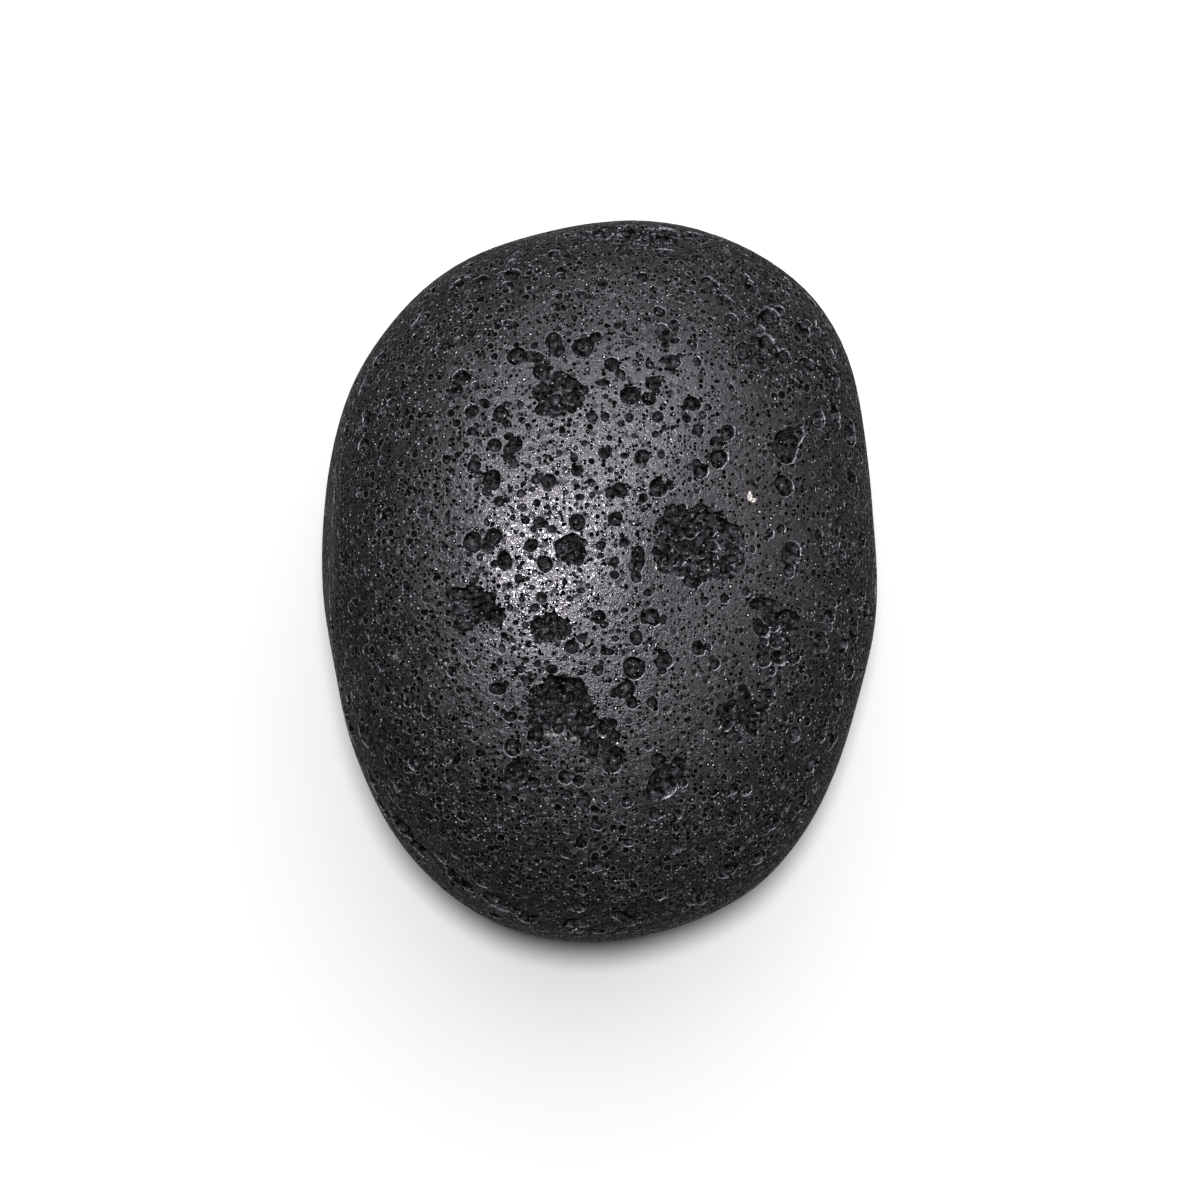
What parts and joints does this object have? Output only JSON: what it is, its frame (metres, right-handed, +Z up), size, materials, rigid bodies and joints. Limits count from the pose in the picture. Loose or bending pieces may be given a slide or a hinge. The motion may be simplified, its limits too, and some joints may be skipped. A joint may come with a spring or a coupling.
{
  "type": "tumbled lava stone",
  "caption": "Palm-sized egg-shaped tumbled lava stone, black satin basalt covered in gas-bubble pits and hollows, lying on its flattened side.",
  "frame": {"origin": "on the flat resting face, under the middle of the stone's width and length", "axes": "+Z up from the resting face, +Y along the stone's length towards its broad end, +X across its width"},
  "size_m": [0.05, 0.065, 0.035],
  "materials": {
    "basalt": "satin, worn smooth between rough bubble pits"
  },
  "bodies": {
    "root": {"lava_stone": "basalt"}
  },
  "joints": []
}
